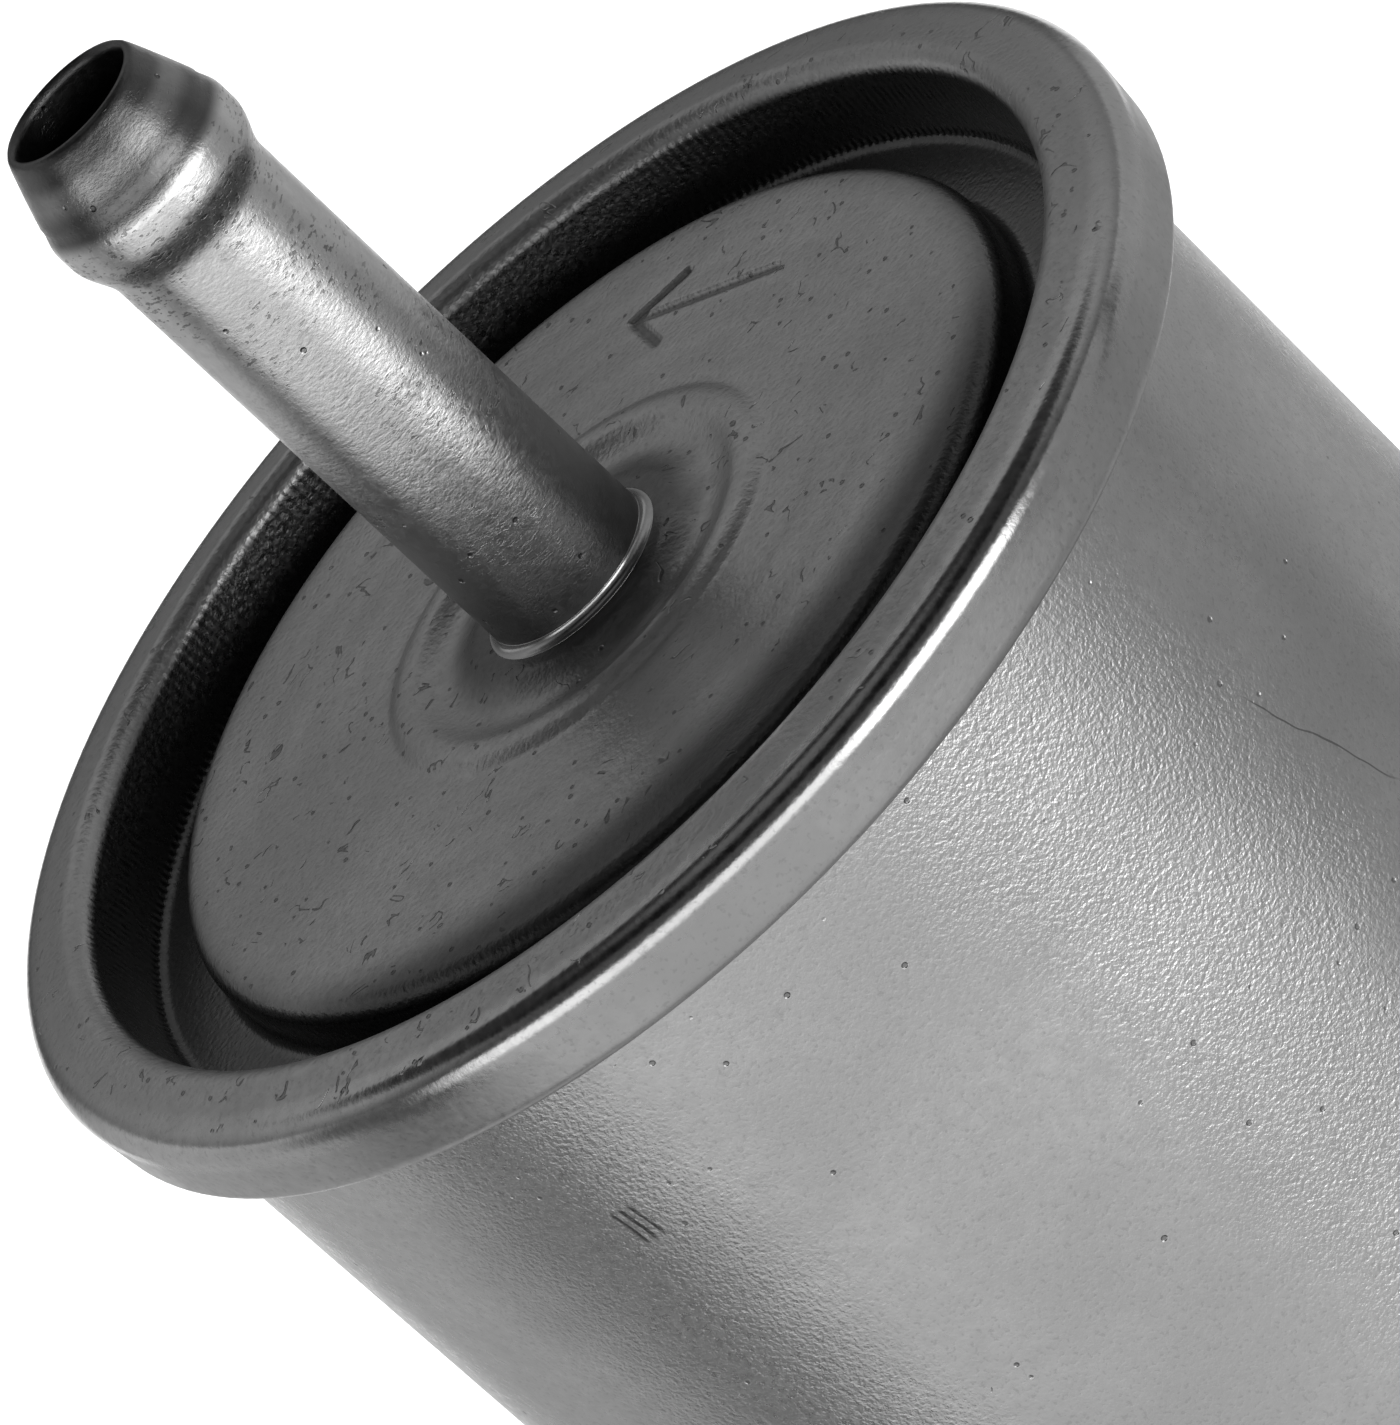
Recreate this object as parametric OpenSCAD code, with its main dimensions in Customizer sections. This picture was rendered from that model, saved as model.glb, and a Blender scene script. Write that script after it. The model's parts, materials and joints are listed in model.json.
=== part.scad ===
// Sealed in-line fuel filter: a drawn steel can, closed by a cover that is double seamed on,
// with a beaded hose nipple brazed into each end and a pleated paper element inside.
// Frame: +Z along the can's axis towards the outlet, origin half-way up the straight barrel.

/* [Can] */
// Outer diameter of the straight barrel
barrel_d = 54; // [52:0.5:58]
// Thickness of the can's and the cover's steel sheet
sheet_t = 0.7; // [0.6:0.05:0.75]
// Height from the can's flat bottom to the top of the rim
can_h = 84; // [80:1:130]
// Outer radius of the bend between the can's wall and its bottom
bottom_bend_r = 5; // [3:0.5:7]

/* [Rim] */
// Height of the seam, from the top of the rim to its lower edge
seam_h = 4.4; // [4.2:0.1:5]
// Radius of the rim's inner top edge
rim_inner_r = 1.0; // [0.9:0.05:1.1]
// Radius of the rim's outer top edge
rim_outer_r = 1.2; // [1.1:0.05:1.3]
// How much lower the rim's outer edge is than its inner edge
rim_fall = 0.28; // [0.1:0.02:0.4]

/* [Cover] */
// Radius of the cover's flat plate, at mid-sheet, where it drops into the groove
plate_r = 21.5; // [20:0.1:21.8]
// Depth of the flat plate below the top of the rim
plate_depth = 1.9; // [1.5:0.1:2.5]
// Depth of the groove's floor below the top of the rim
groove_depth = 4.5; // [4:0.1:5]
// Radius of the raised ring around the nipple
ring_r = 9.2; // [8.5:0.1:11]
// Height of the raised ring above the plate
ring_h = 0.32; // [0.1:0.02:0.5]
// Depth of the dish inside the raised ring
dish_depth = 0.5; // [0.2:0.05:0.7]

/* [Nipples] */
// Outer diameter of the nipple tube, for 8 mm fuel hose
tube_d = 8; // [7.5:0.1:8.5]
// Diameter of the bore, constant from end to end
bore_d = 6; // [5:0.1:6]
// Diameter over the hose bead
bead_d = 9.24; // [8.9:0.02:9.8]
// Diameter over the lip at the mouth
mouth_d = 6.9; // [6.8:0.05:7.4]
// Length of the outlet nipple above the rim
outlet_len = 27.8; // [24:0.1:34]
// Length of the inlet nipple below the can's bottom
inlet_len = 25; // [22:0.1:34]

/* [Element] */
// Outer diameter of the pleated paper
paper_d = 45; // [42:0.5:46]
// Diameter of the perforated centre tube
core_d = 16; // [15:0.5:18]
// Number of pleats
pleats = 36; // [28:1:38]
// Thickness of the filter paper
paper_t = 0.5; // [0.4:0.05:0.6]

/* [Hidden] */

$fn = 96;
fit_gap = 0.1;
slip_gap = 0.05;
half_t = sheet_t / 2;
arc_steps = 8;

// Heights
rim_z = can_h / 2;
bottom_z = -can_h / 2;
plate_z = rim_z - plate_depth;
groove_z = rim_z - groove_depth;

// Radii of the seam's five layers of sheet, at mid-sheet, from the barrel outwards
barrel_r = barrel_d / 2;
wall_r = barrel_r - half_t;
cover_hook_r = wall_r + sheet_t + fit_gap;
body_hook_r = cover_hook_r + sheet_t + fit_gap;
seam_wall_r = body_hook_r + sheet_t + 2 * fit_gap;
chuck_r = wall_r - sheet_t - fit_gap;
chuck_foot_r = chuck_r - 0.35;
// The can's wall draws in slightly inside the seam
neck_fall = 0.05;
neck_r = wall_r - neck_fall;
barrel_top_z = rim_z - seam_h - 0.3;

// Rim: two round edges joined by a gently falling top
inner_edge = [chuck_r - half_t + rim_inner_r, rim_z - rim_inner_r];
outer_edge = [seam_wall_r + half_t - rim_outer_r, rim_z - rim_fall - rim_outer_r];
edge_gap = outer_edge - inner_edge;
rim_slope = asin((rim_inner_r - rim_outer_r) / norm(edge_gap)) - atan2(edge_gap[1], edge_gap[0]);

// Turned-under lower edge of the seam, and the can's own hook inside it
fold_r = (seam_wall_r - cover_hook_r) / 2;
fold_z = rim_z - seam_h + fold_r + half_t;
body_bend_r = (body_hook_r - neck_r) / 2;
body_bend_z = rim_z - 2.4;
cover_hook_top = body_bend_z - 0.15;
body_hook_end = fold_z - slip_gap;

// Groove around the plate
edge_bend_r = 0.65;
groove_bend_r = 0.85;
groove_mid_z = groove_z - half_t;

// Centre of the cover
collar_flat_r = tube_d / 2 + 1.2;
dish_out_r = ring_r - 0.5;
ring_foot_r = ring_r + 1;

// Bottom of the can
pad_r = 12;
pad_h = 0.8;
pad_slope_w = 1.6;

// Nipples
tube_r = tube_d / 2;
bore_r = bore_d / 2;
bead_r = bead_d / 2;
tube_hole_r = tube_r + slip_gap;
bead_len = 7;
bead_rise_len = 2.7;
bead_fall_len = 3.95;
bead_fall_turn = 80;
stub_end_z = rim_z - 12;
inlet_stub_z = bottom_z + 2.4;
braze_w = 0.5;

// Element
core_r = core_d / 2;
core_t = 0.5;
paper_r = paper_d / 2;
cap_t = 0.5;
cap_r = paper_r + 1;
cap_skirt = 4;
adhesive_t = 2.2;
top_cap_z = rim_z - 10.3;
bottom_cap_z = bottom_z + 11.8;
collar_r = 7.25;
collar_h = 4.3;
fold_in_r = core_r + 0.8;
paper_low = bottom_cap_z + cap_t + adhesive_t;
paper_high = top_cap_z - cap_t - adhesive_t;

// Support under the element
wire_d = 1.6;
coil_r = 11;
seat_r = 13;
coil_turns = 3;
seat_t = 0.6;
baffle_r = 8.5;
baffle_h = 4;
bottom_in_z = bottom_z + sheet_t;

// Points on an arc round c, from angle a to angle b
function arc(c, r, a, b, n = arc_steps) =
    [for (i = [0:n]) let (t = a + (b - a) * i / n) c + r * [cos(t), sin(t)]];

// Unit normal of the path's stretch that starts at point i
function normal(path, i) = let (h = path[i + 1] - path[i]) [-h[1], h[0]] / norm(h);

// One side of a path, moved sideways by d, with mitred corners
function side(path, d) =
    let (last = len(path) - 1)
        [for (i = [0:last])
            let (n1 = normal(path, max(i - 1, 0)), n2 = normal(path, min(i, last - 1)))
                path[i] + d * (n1 + n2) / (1 + n1 * n2)];

function reversed(list) = [for (i = [len(list) - 1:-1:0]) list[i]];

// Smooth step from 0 to 1 as x goes from a to b
function ease(x, a, b) = let (t = min(max((x - a) / (b - a), 0), 1)) (1 - cos(180 * t)) / 2;

// A sheet of thickness t bent along a path and turned round the axis
module turned_sheet(path, t) {
    rotate_extrude() polygon(concat(side(path, t / 2), reversed(side(path, -t / 2))));
}

// A plain ring between two radii and two heights
module ring(r_in, r_out, z_low, z_high) {
    translate([0, 0, z_low])
        difference() {
            cylinder(r = r_out, h = z_high - z_low);
            translate([0, 0, -1]) cylinder(r = r_in, h = z_high - z_low + 2);
        }
}

// Height of the cover above its plate at radius r: collar flat, dish, raised ring
function cover_rise(r) =
    r < collar_flat_r ? ring_h :
    r < dish_out_r ? ring_h - dish_depth * sin(180 * (r - collar_flat_r) / (dish_out_r - collar_flat_r)) :
    ring_h * (1 - ease(r, ring_r, ring_foot_r));

function cover_centre() = concat(
    [[tube_hole_r, plate_z - half_t + ring_h]],
    [for (r = [collar_flat_r:0.3:ring_foot_r]) [r, plate_z - half_t + cover_rise(r)]]
);

function cover_path() = concat(
    cover_centre(),
    [[ring_foot_r + 0.4, plate_z - half_t]],
    arc([plate_r - edge_bend_r, plate_z - half_t - edge_bend_r], edge_bend_r, 90, 0),
    arc([plate_r + groove_bend_r, groove_mid_z + groove_bend_r], groove_bend_r, 180, 270),
    arc([chuck_foot_r - groove_bend_r, groove_mid_z + groove_bend_r], groove_bend_r, -90, 0),
    arc(inner_edge, rim_inner_r - half_t, 180, 90 - rim_slope),
    arc(outer_edge, rim_outer_r - half_t, 90 - rim_slope, 0),
    arc([seam_wall_r - fold_r, fold_z], fold_r, 0, -180),
    [[cover_hook_r, cover_hook_top]]
);

module outlet_cover() {
    color("dimgray") turned_sheet(cover_path(), sheet_t);
}

function can_path() = concat(
    [[tube_hole_r, bottom_z + half_t], [pad_r, bottom_z + half_t]],
    [for (r = [pad_r + 0.4:0.4:pad_r + pad_slope_w])
        [r, bottom_z + half_t + pad_h * ease(r, pad_r, pad_r + pad_slope_w)]],
    arc([wall_r - bottom_bend_r, bottom_z + pad_h + half_t + bottom_bend_r], bottom_bend_r, -90, 0, 14),
    [[wall_r, barrel_top_z]],
    arc([neck_r + body_bend_r, body_bend_z], body_bend_r, 180, 0),
    [[body_hook_r, body_hook_end]]
);

module canister() {
    color("silver") turned_sheet(can_path(), sheet_t);
}

// Compound between the can's bend and the underside of the rim
module seam_sealant() {
    centre = [neck_r + body_bend_r, body_bend_z];
    inside_r = body_bend_r + half_t + slip_gap;
    color("darkred")
        rotate_extrude()
            polygon(concat(arc(centre, inside_r, 40, 140), reversed(arc(centre, inside_r + 0.2, 40, 140))));
}

// Outline of a beaded tube end, from the straight tube up to the mouth at height 0
function nipple_end() = concat(
    [[tube_r, -bead_len]],
    [for (i = [1:12]) let (t = i / 12)
        [tube_r + (bead_r - tube_r) * ease(t, 0, 1), -bead_len + bead_rise_len * t]],
    [for (i = [1:12]) let (t = i / 12, fall = (1 - cos(bead_fall_turn * t)) / (1 - cos(bead_fall_turn)))
        [bead_r + (mouth_d / 2 - bead_r) * fall, -bead_len + bead_rise_len + bead_fall_len * t]],
    [[mouth_d / 2 - 0.04, -0.16], [mouth_d / 2 - 0.14, -0.04], [mouth_d / 2 - 0.25, 0]]
);

module nipple(mouth_z, stub_z) {
    outline = [for (p = nipple_end()) [p[0], p[1] + mouth_z]];
    rotate_extrude()
        polygon(concat([[bore_r, stub_z], [tube_r, stub_z]], outline, [[bore_r, mouth_z]]));
}

// Concave fillet of braze metal standing on a surface at height 0
module braze_fillet() {
    rotate_extrude()
        polygon(concat([[tube_r, 0]], arc([tube_r + braze_w, braze_w], braze_w, -90, -180)));
}

module outlet_nipple() {
    color("lightgray") nipple(rim_z + outlet_len, stub_end_z);
}

module inlet_nipple() {
    color("lightgray") mirror([0, 0, 1]) nipple(-bottom_z + inlet_len, -inlet_stub_z);
}

module outlet_braze_ring() {
    color("gainsboro") translate([0, 0, plate_z + ring_h]) braze_fillet();
}

module inlet_braze_ring() {
    color("gainsboro") translate([0, 0, bottom_z]) mirror([0, 0, 1]) braze_fillet();
}

// Upturned cup over the inlet that throws the fuel sideways through four windows
module inlet_baffle() {
    window_w = 7;
    window_h = 2.4;
    color("darkgray")
        translate([0, 0, bottom_in_z])
            difference() {
                cylinder(r = baffle_r, h = baffle_h);
                translate([0, 0, -1]) cylinder(r = baffle_r - cap_t, h = baffle_h - cap_t + 1);
                for (turn = [0, 90])
                    rotate(turn)
                        translate([-baffle_r - 1, -window_w / 2, 0.6])
                            cube([2 * baffle_r + 2, window_w, window_h]);
            }
}

// Round wire wound between two heights
module coil_spring(r, wire, z_low, z_high, turns) {
    sides = 10;
    steps = 24 * turns;
    wire_r = wire / 2;
    rings = [for (i = [0:steps])
        let (turn = 360 * turns * i / steps, z = z_low + (z_high - z_low) * i / steps)
            [for (k = [0:sides - 1])
                let (a = 360 * k / sides, d = r + wire_r * cos(a))
                    [d * cos(turn), d * sin(turn), z + wire_r * sin(a)]]];
    skin = [for (i = [0:steps - 1])
        for (k = [0:sides - 1])
            let (n = (k + 1) % sides, here = i * sides, up = here + sides)
                [here + k, up + k, up + n, here + n]];
    ends = [[for (k = [0:sides - 1]) k], [for (k = [sides - 1:-1:0]) steps * sides + k]];
    polyhedron([for (one = rings) for (p = one) p], concat(skin, ends));
}

module support_spring() {
    spring_low = bottom_in_z + wire_d / 2 + 0.1;
    spring_high = bottom_cap_z - seat_t - wire_d / 2 - 0.1;
    color("slategray") coil_spring(coil_r, wire_d, spring_low, spring_high, coil_turns);
}

// Pressed ring that centres the spring under the element
module spring_seat() {
    color("darkgray") {
        ring(seat_r - 4, seat_r, bottom_cap_z - seat_t, bottom_cap_z);
        ring(seat_r, seat_r + seat_t, bottom_cap_z - 1.6, bottom_cap_z);
    }
}

// Hoop round the lower cap with six feet that keep the element central in the can
module centring_ring() {
    hoop_in = cap_r + slip_gap;
    hoop_h = 3;
    foot_w = 5;
    foot_reach = wall_r - half_t - slip_gap;
    color("black")
        translate([0, 0, bottom_cap_z])
            difference() {
                intersection() {
                    cylinder(r = foot_reach, h = hoop_h);
                    union() {
                        cylinder(r = hoop_in + 0.8, h = hoop_h);
                        for (turn = [0:60:120])
                            rotate(turn)
                                translate([-barrel_r, -foot_w / 2, 0]) cube([barrel_d, foot_w, hoop_h]);
                    }
                }
                translate([0, 0, -1]) cylinder(r = hoop_in, h = hoop_h + 2);
            }
}

module bottom_end_cap() {
    color("goldenrod")
        translate([0, 0, bottom_cap_z])
            difference() {
                cylinder(r = cap_r, h = cap_skirt);
                translate([0, 0, cap_t]) cylinder(r = cap_r - cap_t, h = cap_skirt);
            }
}

module bottom_adhesive() {
    z = bottom_cap_z + cap_t;
    color("tan") ring(core_r, cap_r - cap_t, z, z + adhesive_t);
}

module top_adhesive() {
    color("tan") ring(core_r, cap_r - cap_t, top_cap_z - cap_t - adhesive_t, top_cap_z - cap_t);
}

// Upper cap with a collar that holds the seal, and a skirt round the pleats
module top_end_cap() {
    color("goldenrod") {
        ring(cap_r - cap_t, cap_r, top_cap_z - cap_skirt, top_cap_z);
        ring(collar_r - 0.25, cap_r, top_cap_z - cap_t, top_cap_z);
        ring(collar_r - 0.25, collar_r + 0.25, top_cap_z - cap_t, top_cap_z + collar_h);
    }
}

// Pleated paper: radial walls joined in turn at the outer and the inner folds
module filter_paper() {
    walls = 2 * pleats - 2;
    wall_step = 180 / pleats;
    fold_out_r = paper_r - paper_t;
    zigzag = [for (i = [0:walls - 1])
        let (a = (i + 1.5) * wall_step, rise = i % 2 == 0)
            for (r = rise ? [fold_in_r, fold_out_r] : [fold_out_r, fold_in_r]) r * [cos(a), sin(a)]];
    color("peru")
        translate([0, 0, paper_low])
            linear_extrude(paper_high - paper_low)
                polygon(concat(side(zigzag, paper_t / 2), reversed(side(zigzag, -paper_t / 2))));
}

// Crimped strip that joins the two ends of the paper
module pleat_seam_clip() {
    clip_w = 1.5;
    clip_d = 1.4;
    color("silver")
        translate([fold_in_r, -clip_w / 2, paper_low]) cube([clip_d, clip_w, paper_high - paper_low]);
}

// Perforated tube that carries the paper against the flow
module centre_tube() {
    tube_low = bottom_cap_z + cap_t;
    tube_high = top_cap_z - cap_t;
    rows = 6;
    hole_r = 1.5;
    pitch = (tube_high - tube_low) / (rows + 1);
    color("silver")
        difference() {
            ring(core_r - core_t, core_r, tube_low, tube_high);
            for (row = [1:rows])
                for (turn = [0:60:120])
                    translate([0, 0, tube_low + row * pitch])
                        rotate([90, 0, turn + (row % 2) * 30])
                            translate([0, 0, -core_r - 1]) cylinder(r = hole_r, h = 2 * core_r + 2, $fn = 32);
        }
}

// Rubber ring between the outlet nipple's stub and the upper cap's collar
module outlet_seal() {
    color("#222222") ring(tube_r, collar_r - 0.25, top_cap_z - cap_t, top_cap_z + collar_h - 0.8);
}

module seal_retainer() {
    seal_top = top_cap_z + collar_h - 0.8;
    color("silver") ring(tube_r + 0.3, collar_r - 0.25, seal_top, seal_top + 0.6);
}

canister();
outlet_cover();
seam_sealant();
outlet_nipple();
outlet_braze_ring();
inlet_nipple();
inlet_braze_ring();
inlet_baffle();
support_spring();
spring_seat();
centring_ring();
bottom_end_cap();
bottom_adhesive();
filter_paper();
pleat_seam_clip();
centre_tube();
top_adhesive();
top_end_cap();
outlet_seal();
seal_retainer();
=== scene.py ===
# Looks of a sealed in-line fuel filter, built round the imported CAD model.
# Meshes and sizes are worked out in millimetres and turned into the frame's metres by MM.
import json
import math

import bpy
import numpy as np
from mathutils import Matrix, Vector


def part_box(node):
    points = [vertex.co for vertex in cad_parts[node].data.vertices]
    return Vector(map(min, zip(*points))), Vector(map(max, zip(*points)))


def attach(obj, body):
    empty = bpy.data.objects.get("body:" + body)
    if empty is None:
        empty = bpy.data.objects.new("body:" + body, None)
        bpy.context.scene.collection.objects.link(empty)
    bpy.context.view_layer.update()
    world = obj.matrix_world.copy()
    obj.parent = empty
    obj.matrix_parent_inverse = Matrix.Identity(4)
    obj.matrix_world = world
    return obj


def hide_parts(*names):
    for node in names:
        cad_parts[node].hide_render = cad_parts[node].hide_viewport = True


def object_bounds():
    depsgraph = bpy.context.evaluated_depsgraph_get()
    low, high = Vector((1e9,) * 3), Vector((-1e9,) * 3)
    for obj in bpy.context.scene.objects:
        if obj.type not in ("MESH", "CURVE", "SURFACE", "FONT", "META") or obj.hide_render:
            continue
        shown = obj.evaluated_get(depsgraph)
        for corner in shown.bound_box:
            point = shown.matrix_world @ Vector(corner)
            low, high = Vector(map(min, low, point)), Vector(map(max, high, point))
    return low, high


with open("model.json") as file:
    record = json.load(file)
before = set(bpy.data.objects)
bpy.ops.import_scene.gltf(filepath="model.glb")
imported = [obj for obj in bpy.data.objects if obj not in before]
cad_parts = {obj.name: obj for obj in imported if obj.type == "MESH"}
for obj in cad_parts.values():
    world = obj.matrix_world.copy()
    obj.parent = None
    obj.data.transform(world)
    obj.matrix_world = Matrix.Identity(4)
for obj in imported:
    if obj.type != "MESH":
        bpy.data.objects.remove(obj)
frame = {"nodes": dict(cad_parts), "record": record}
cad_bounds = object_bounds()

MM = 0.001
TAU = 2 * math.pi

# Driving sizes, read from the frame, in millimetres
mounts = {m["name"]: m for m in frame["record"]["mounts"]}
BARREL_R = mounts["clamp_band"]["dims"]["r_mm"]
BORE_R = mounts["outlet_bore"]["dims"]["r_mm"]
TUBE_R = mounts["outlet_hose_spigot"]["dims"]["r_mm"]
OUTLET_MOUTH_Z = mounts["outlet_hose_spigot"]["pos_m"][2] / MM
INLET_MOUTH_Z = mounts["inlet_hose_spigot"]["pos_m"][2] / MM
cover_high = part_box("outlet_cover")[1]
can_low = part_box("canister")[0]
nipple_low, nipple_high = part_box("outlet_nipple")
inlet_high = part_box("inlet_nipple")[1]
RIM_Z = cover_high.z / MM
SEAM_R = cover_high.x / MM
CAN_BOTTOM_Z = can_low.z / MM
BEAD_R = nipple_high.x / MM

# Sheet and seam sizes, as in the CAD source, in millimetres
SHEET = 0.7
HALF = SHEET / 2
GAP = 0.1
SLIP = 0.05
SEAM_H = 4.4
WALL_R = BARREL_R - HALF
COVER_HOOK_R = WALL_R + SHEET + GAP
BODY_HOOK_R = COVER_HOOK_R + SHEET + GAP
SEAM_WALL_R = SEAM_R - HALF
CHUCK_R = WALL_R - SHEET - GAP
CHUCK_FOOT_R = CHUCK_R - 0.35
RIM_INNER = 1.0
RIM_OUTER = 1.2
RIM_FALL = 0.28
NECK_FALL = 0.05
NECK_R = WALL_R - NECK_FALL
BARREL_TOP_Z = RIM_Z - SEAM_H - 0.3
SEAM_LEAN = 0.16
CORNER_R = 0.42
FOLD_R = (SEAM_WALL_R - COVER_HOOK_R) / 2
FOLD_Z = RIM_Z - SEAM_H + FOLD_R + HALF
FOLD_LOW_Z = RIM_Z - SEAM_H + HALF
BODY_BEND_R = (BODY_HOOK_R - NECK_R) / 2
BODY_BEND_Z = RIM_Z - 2.4

PLATE_Z = RIM_Z - 1.9
PLATE_R = 21.5
EDGE_BEND = 0.65
GROOVE_BEND = 0.85
GROOVE_MID_Z = RIM_Z - 4.5 - HALF
RING_R = 9.2
RING_H = 0.32
DISH_DEPTH = 0.5
COLLAR_FLAT_R = TUBE_R + 1.2
HOLE_R = TUBE_R + SLIP


# ---------------------------------------------------------------- camera, floor and light

def add_camera():
    """Camera above the rim, rolled so that the can runs to the lower right of the picture."""
    distance = 0.3607
    down_tilt = math.radians(26.09)
    roll = math.radians(-47.03)
    aim = Vector((-0.00056, 0, 0.03194))
    data = bpy.data.cameras.new("camera")
    data.lens = 224.6
    data.sensor_width = 36
    data.clip_start = 0.01
    data.clip_end = 20
    camera = bpy.data.objects.new("camera", data)
    turn = Matrix.Rotation(math.pi / 2 - down_tilt, 4, "X") @ Matrix.Rotation(roll, 4, "Z")
    back = Vector((0, -math.cos(down_tilt), math.sin(down_tilt)))
    camera.matrix_world = Matrix.Translation(aim + back * distance) @ turn
    bpy.context.scene.collection.objects.link(camera)
    bpy.context.scene.camera = camera


class Nodes:
    """Short ways to add and link shader nodes; add returns the node, the others return its output socket."""

    def __init__(self, tree):
        self.tree = tree
        tree.nodes.clear()

    def add(self, kind, inputs=None, **settings):
        node = self.tree.nodes.new(kind)
        for key, value in settings.items():
            setattr(node, key, value)
        for key, value in (inputs or {}).items():
            self.put(node.inputs[key], value)
        return node

    def put(self, socket, value):
        if isinstance(value, bpy.types.NodeSocket):
            self.tree.links.new(value, socket)
        else:
            socket.default_value = value

    def math(self, operation, a, b=0.0, c=0.0):
        node = self.add("ShaderNodeMath", operation=operation)
        for socket, value in zip(node.inputs, (a, b, c)):
            self.put(socket, value)
        return node.outputs[0]

    def step(self, value, low, high, to_low=0.0, to_high=1.0):
        """Smooth step from to_low to to_high as value goes from low to high."""
        node = self.add("ShaderNodeMapRange", interpolation_type="SMOOTHSTEP")
        for socket, item in zip(node.inputs, (value, low, high, to_low, to_high)):
            self.put(socket, item)
        return node.outputs[0]

    def noise(self, vector, scale, detail=2.0, rough=0.5, distortion=0.0):
        node = self.add("ShaderNodeTexNoise", {"Vector": vector, "Scale": scale, "Detail": detail,
                                                "Roughness": rough, "Distortion": distortion})
        return node.outputs["Fac"]

    def mix(self, factor, a, b):
        node = self.add("ShaderNodeMix", data_type="RGBA")
        self.put(node.inputs[0], factor)
        self.put(node.inputs[6], a)
        self.put(node.inputs[7], b)
        return node.outputs[2]

    def bump(self, height, distance, strength=1.0, normal=None):
        node = self.add("ShaderNodeBump", {"Height": height, "Distance": distance, "Strength": strength})
        if normal is not None:
            self.put(node.inputs["Normal"], normal)
        return node.outputs["Normal"]


def add_world():
    """Studio surround: low soft panels, a dark ceiling, a dim backdrop; plain white to the camera.

    Azimuth 0 is the camera side and grows towards +X; azimuth and height are in degrees."""
    world = bpy.data.worlds.new("studio")
    bpy.context.scene.world = world
    world.use_nodes = True
    n = Nodes(world.node_tree)
    coords = n.add("ShaderNodeTexCoord").outputs["Generated"]
    x, y, z = n.add("ShaderNodeSeparateXYZ", {0: coords}).outputs
    azimuth = n.math("MULTIPLY", n.math("ARCTAN2", x, n.math("MULTIPLY", y, -1.0)), 180 / math.pi)
    behind = n.math("ABSOLUTE", azimuth)
    height = n.math("MULTIPLY", n.math("ARCSINE", z), 180 / math.pi)

    def between(value, low, high, edge_low, edge_high=None):
        edge_high = edge_high or edge_low
        return n.math("MULTIPLY", n.step(value, low - edge_low, low + edge_low),
                      n.step(value, high - edge_high, high + edge_high, 1.0, 0.0))

    front = between(height, -84, 16, 6, 3)
    lamp = between(height, -14, 17, 8, 3)
    key = between(height, -17, 17, 6, 3)
    back_low = between(height, -60, -6, 16, 4)
    panels = [
        (between(azimuth, -73, -16, 2, 8), front, 0.66),
        (between(azimuth, -16, 10, 8, 6), front, 0.66),
        (between(azimuth, 10, 49, 6, 3), front, 0.56),
        (between(azimuth, 10, 49, 6, 3), key, 3.1),
        (between(azimuth, -66, 10, 6, 6), lamp, 1.0),
        (between(azimuth, 49, 89, 3, 2), front, 0.30),
        (between(azimuth, 95, 150, 2, 8), front, 0.34),
        (between(azimuth, -150, -100, 8, 8), front, 0.42),
        (between(azimuth, -100, -73, 8, 2), front, 0.07),
        (n.step(behind, 148, 160), back_low, 1.0),
    ]
    rise = n.step(height, 0, 46, 0.09, 0.42)
    ceiling_start = n.step(behind, 140, 172, 41, 46)
    ceiling_full = n.step(behind, 140, 172, 50, 56)
    backdrop = n.math("MULTIPLY", rise, n.step(height, ceiling_start, ceiling_full, 1.0, 0.08))
    light = n.math("MULTIPLY", backdrop, n.step(behind, 60, 110, 0.27, 1.0))
    overhead = n.step(height, 66, 80, 0.0, 0.17)
    light = n.math("ADD", light, overhead)
    for across, up, power in panels:
        light = n.math("ADD", light, n.math("MULTIPLY", n.math("MULTIPLY", across, up), power))
    studio = n.add("ShaderNodeBackground", {"Color": (1, 1, 1, 1), "Strength": light})
    plain = n.add("ShaderNodeBackground", {"Color": (1, 1, 1, 1), "Strength": 1.0})
    seen = n.add("ShaderNodeLightPath").outputs["Is Camera Ray"]
    both = n.add("ShaderNodeMixShader", {0: seen, 1: studio.outputs[0], 2: plain.outputs[0]})
    n.add("ShaderNodeOutputWorld", {"Surface": both.outputs[0]})


def area_light(name, place, target, size, power):
    data = bpy.data.lights.new(name, "AREA")
    data.shape = "RECTANGLE"
    data.size, data.size_y = size
    data.energy = power
    lamp = bpy.data.objects.new(name, data)
    lamp.location = place
    lamp.rotation_euler = (Vector(target) - Vector(place)).to_track_quat("-Z", "Y").to_euler()
    bpy.context.scene.collection.objects.link(lamp)
    return lamp


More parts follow.
